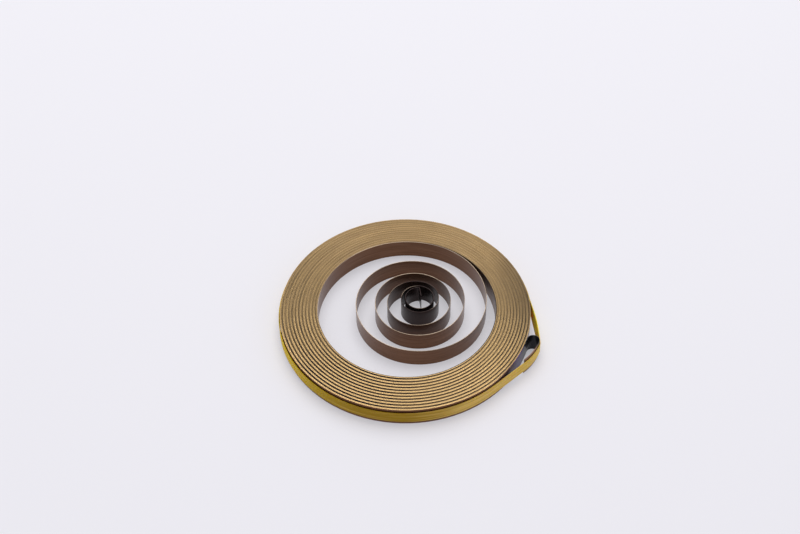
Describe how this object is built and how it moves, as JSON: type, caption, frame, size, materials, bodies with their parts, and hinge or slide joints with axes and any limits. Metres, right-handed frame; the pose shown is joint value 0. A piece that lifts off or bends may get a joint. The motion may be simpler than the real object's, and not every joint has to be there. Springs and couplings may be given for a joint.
{
  "type": "mainspring",
  "caption": "Flat spiral steel mainspring: packed coil, open inner turns, arbor eye with a bent tang and folded outer hook, held wound by a band.",
  "frame": {"origin": "axis of the arbor eye, on the plane that the spring lies on", "axes": "+Z along the arbor eye's axis, up from the lower edge of the strip; +Y along the straight run of the outer hook as it leaves the coil"},
  "size_m": [0.0633, 0.0604, 0.005],
  "materials": {
    "spring_steel": "satin, bronzed by tempering, blued at the hook",
    "band": "matte yellow"
  },
  "bodies": {
    "root": {"mainspring": "spring_steel", "retaining_band": "band"}
  },
  "joints": []
}
